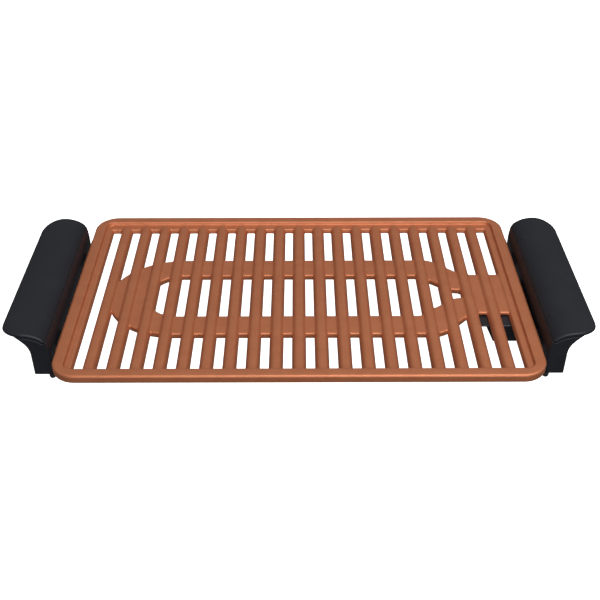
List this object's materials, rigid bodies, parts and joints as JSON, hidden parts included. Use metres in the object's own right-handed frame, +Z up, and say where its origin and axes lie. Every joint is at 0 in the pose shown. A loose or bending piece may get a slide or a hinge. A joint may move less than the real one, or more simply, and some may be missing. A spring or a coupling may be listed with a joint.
{
  "type": "electric grill grate",
  "caption": "Copper-coloured cast cooking grate with a heating element ring under its bars, a control socket under one end and black side handles that it stands on.",
  "frame": {"origin": "on the surface that the feet stand on, under the middle of the grate", "axes": "+X to the end with the control socket, +Y to the back, +Z up"},
  "size_m": [0.5146, 0.256, 0.0488],
  "materials": {
    "copper_coating": "satin copper-coloured non-stick coating on cast aluminium",
    "element_sheath": "heat-darkened drawn steel sheath",
    "black_moulding": "fine satin black heat-resistant moulding",
    "steel_sheet": "plain pressed steel",
    "black_strap": "black enamel on flat steel",
    "screw_steel": "bright plated steel",
    "ceramic_white": "unglazed off-white ceramic",
    "rubber_black": "matte black silicone rubber"
  },
  "bodies": {
    "root": {"grill_plate": "copper_coating", "heating_element": "element_sheath", "socket_housing": "black_moulding", "inlet_frame": "steel_sheet", "probe_sleeve": "steel_sheet", "earth_spring": "steel_sheet", "terminal_pin_back": "screw_steel", "terminal_pin_front": "screw_steel", "terminal_insulator_back": "ceramic_white", "terminal_insulator_front": "ceramic_white", "socket_screw_back": "screw_steel", "socket_screw_front": "screw_steel", "handle_grip_right": "black_moulding", "handle_leg_right": "black_moulding", "mounting_strap_right_back": "black_strap", "mounting_strap_right_front": "black_strap", "grate_screw_right_back": "screw_steel", "grate_screw_right_front": "screw_steel", "grip_screw_right_back": "screw_steel", "grip_screw_right_front": "screw_steel", "foot_right_back": "rubber_black", "foot_right_front": "rubber_black", "handle_grip_left": "black_moulding", "handle_leg_left": "black_moulding", "mounting_strap_left_back": "black_strap", "mounting_strap_left_front": "black_strap", "grate_screw_left_back": "screw_steel", "grate_screw_left_front": "screw_steel", "grip_screw_left_back": "screw_steel", "grip_screw_left_front": "screw_steel", "foot_left_back": "rubber_black", "foot_left_front": "rubber_black"}
  },
  "joints": []
}
